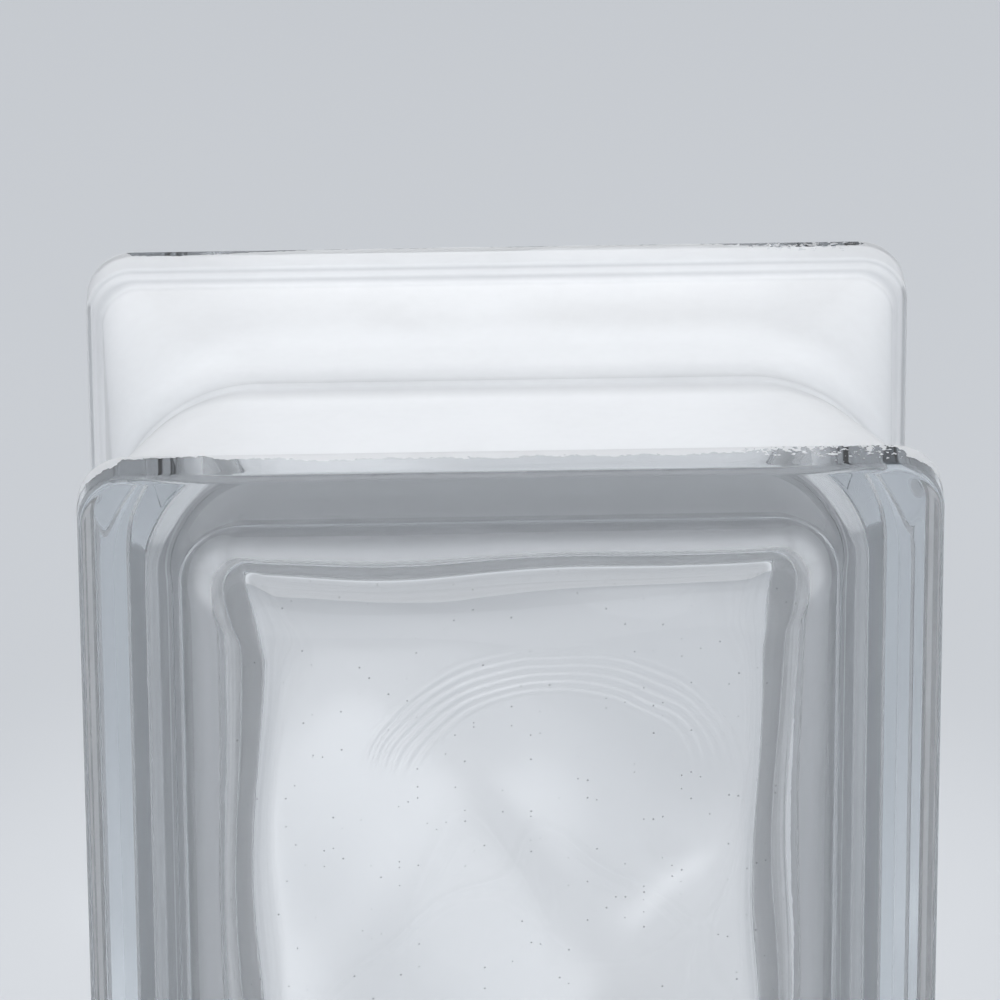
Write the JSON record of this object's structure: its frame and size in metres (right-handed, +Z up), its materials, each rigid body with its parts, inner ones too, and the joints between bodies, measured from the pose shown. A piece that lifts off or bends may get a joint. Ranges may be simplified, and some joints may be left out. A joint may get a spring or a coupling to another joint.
{
  "type": "glass block",
  "caption": "Hollow pressed-glass building block: two fused rectangular trays with waved panes, flanged faces, a mortar channel and white-coated edges.",
  "frame": {"origin": "middle of the underside, between the two flanges that the block stands on", "axes": "+Z up, +X along the width of the face, +Y through the depth from the front face to the back face"},
  "size_m": [0.146, 0.098, 0.197],
  "materials": {
    "clear_glass": "clear pressed glass with a faint green-grey tint, smooth outside and softly waved inside",
    "edge_coating": "thin white mortar-bonding coat on the four edge channels, ragged and worn where it ends on the flanges"
  },
  "bodies": {
    "root": {"front_half": "clear_glass", "back_half": "clear_glass"}
  },
  "joints": []
}
